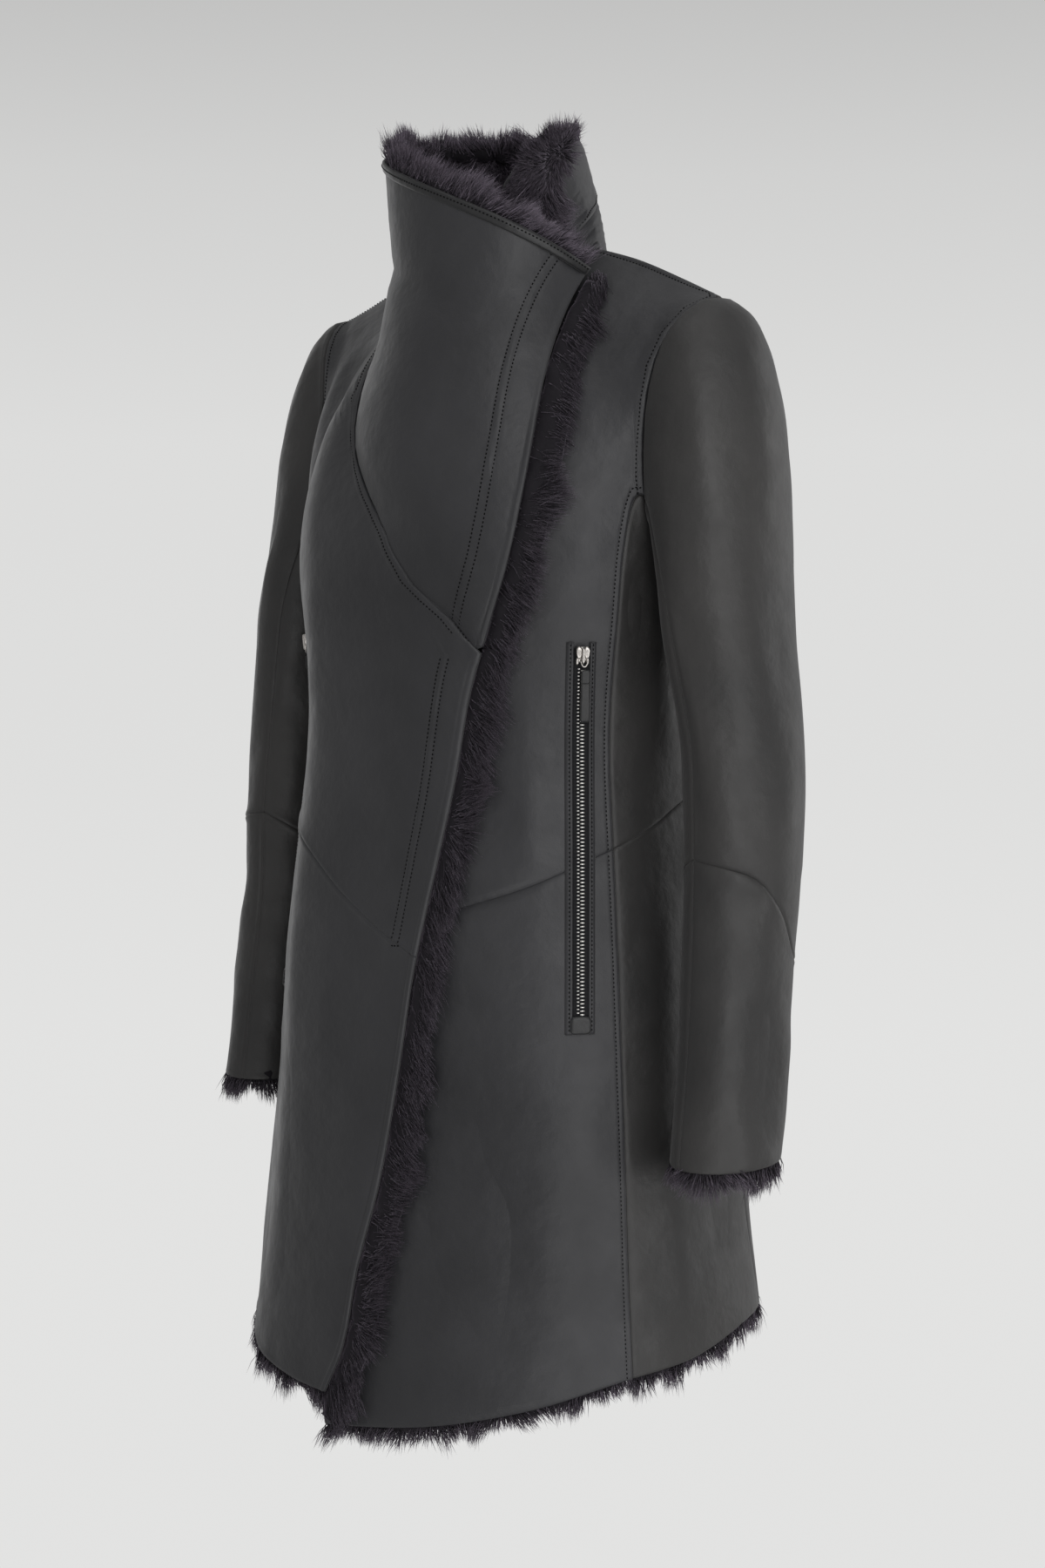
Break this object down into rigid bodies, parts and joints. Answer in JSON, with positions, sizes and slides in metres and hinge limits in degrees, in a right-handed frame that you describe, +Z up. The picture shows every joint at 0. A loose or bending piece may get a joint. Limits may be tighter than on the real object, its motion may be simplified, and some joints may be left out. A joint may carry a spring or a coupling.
{
  "type": "shearling coat",
  "caption": "Hip-length shearling coat worn closed: lapped front, funnel collar with a turned lapel, elbow-seamed sleeves, side zip pockets, wool at each edge.",
  "frame": {"origin": "midway between the two side-neck points at shoulder level, where the wearer's shoulders carry the coat", "axes": "+Z up, the coat's front faces -Y, the wearer's left is +X"},
  "size_m": [0.5188, 0.343, 0.9442],
  "materials": {
    "leather": "soft satin nappa, near black with a grey sheen",
    "trim_leather": "satin binding, pull and end patches",
    "wool": "clipped wool, matt purple-grey",
    "zip_metal": "gunmetal, semi-bright",
    "zip_tape": "woven tape, matt black"
  },
  "bodies": {
    "root": {"back_lower": "leather", "back_upper": "leather", "collar_back": "leather", "collar_left": "leather", "front_left_lower": "leather", "front_left_upper": "leather", "front_right_lower": "leather", "front_right_upper": "leather", "lapel_band": "trim_leather", "lapel_right": "leather", "side_left_lower": "leather", "side_left_upper": "leather", "side_right_lower": "leather", "side_right_upper": "leather", "sleeve_left_outer_lower": "leather", "sleeve_left_outer_upper": "leather", "sleeve_left_under_lower": "leather", "sleeve_left_under_upper": "leather", "sleeve_right_outer_lower": "leather", "sleeve_right_outer_upper": "leather", "sleeve_right_under_lower": "leather", "sleeve_right_under_upper": "leather", "wool_collar_rim": "wool", "wool_collar_roll": "wool", "wool_cuff_left": "wool", "wool_cuff_right": "wool", "wool_edge_lapel": "wool", "wool_edge_lower": "wool", "wool_edge_middle": "wool", "wool_hem_back": "wool", "wool_hem_front_left": "wool", "wool_hem_front_right": "wool", "wool_hem_side_left": "wool", "wool_hem_side_right": "wool", "wool_lapel_rim": "wool", "zip_left_patch": "trim_leather", "zip_left_pull": "trim_leather", "zip_left_slider": "zip_metal", "zip_left_tape": "zip_tape", "zip_right_patch": "trim_leather", "zip_right_pull": "trim_leather", "zip_right_slider": "zip_metal", "zip_right_tape": "zip_tape"}
  },
  "joints": []
}
